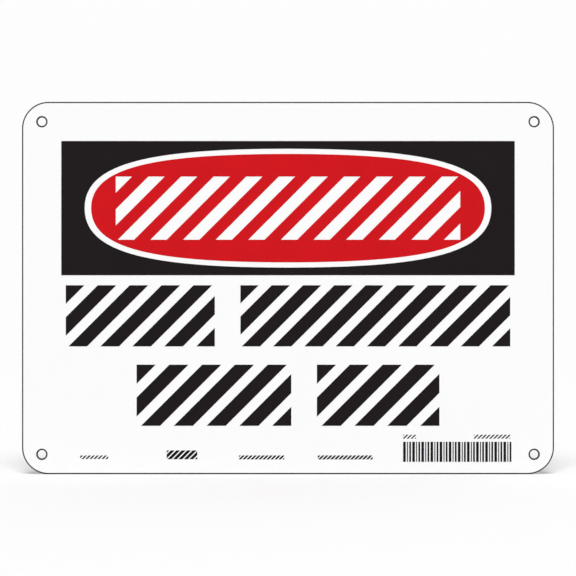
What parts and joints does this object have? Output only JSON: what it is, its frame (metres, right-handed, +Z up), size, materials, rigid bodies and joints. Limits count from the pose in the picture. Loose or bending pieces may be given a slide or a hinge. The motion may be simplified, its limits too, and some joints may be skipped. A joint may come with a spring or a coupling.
{
  "type": "safety sign",
  "caption": "Flat rectangular wall sign of enamelled sheet metal with rounded corners and screw holes, printed with a header field, a ringed oval, bands of slanted stripes and a row of bars.",
  "frame": {"origin": "centre of the four-hole pattern on the back face", "axes": "+X along the sign's width, +Y out of its back towards the wall, +Z up its height; the printed face looks towards -Y"},
  "size_m": [0.254, 0.0011, 0.1778],
  "materials": {
    "white_enamel": "semi-gloss white enamel on aluminium sheet with a bare back and bare cut edges",
    "dark_primer": "matt dark primer, which shows as a fine line along the edge of the enamel and round the screw holes",
    "black_ink": "satin black screen ink",
    "red_ink": "satin red screen ink"
  },
  "bodies": {
    "root": {"sign_plate": "white_enamel", "black_header": "black_ink", "red_oval": "red_ink", "upper_left_band": "black_ink", "upper_right_band": "black_ink", "lower_left_band": "black_ink", "lower_right_band": "black_ink", "footer_band": "black_ink"}
  },
  "joints": []
}
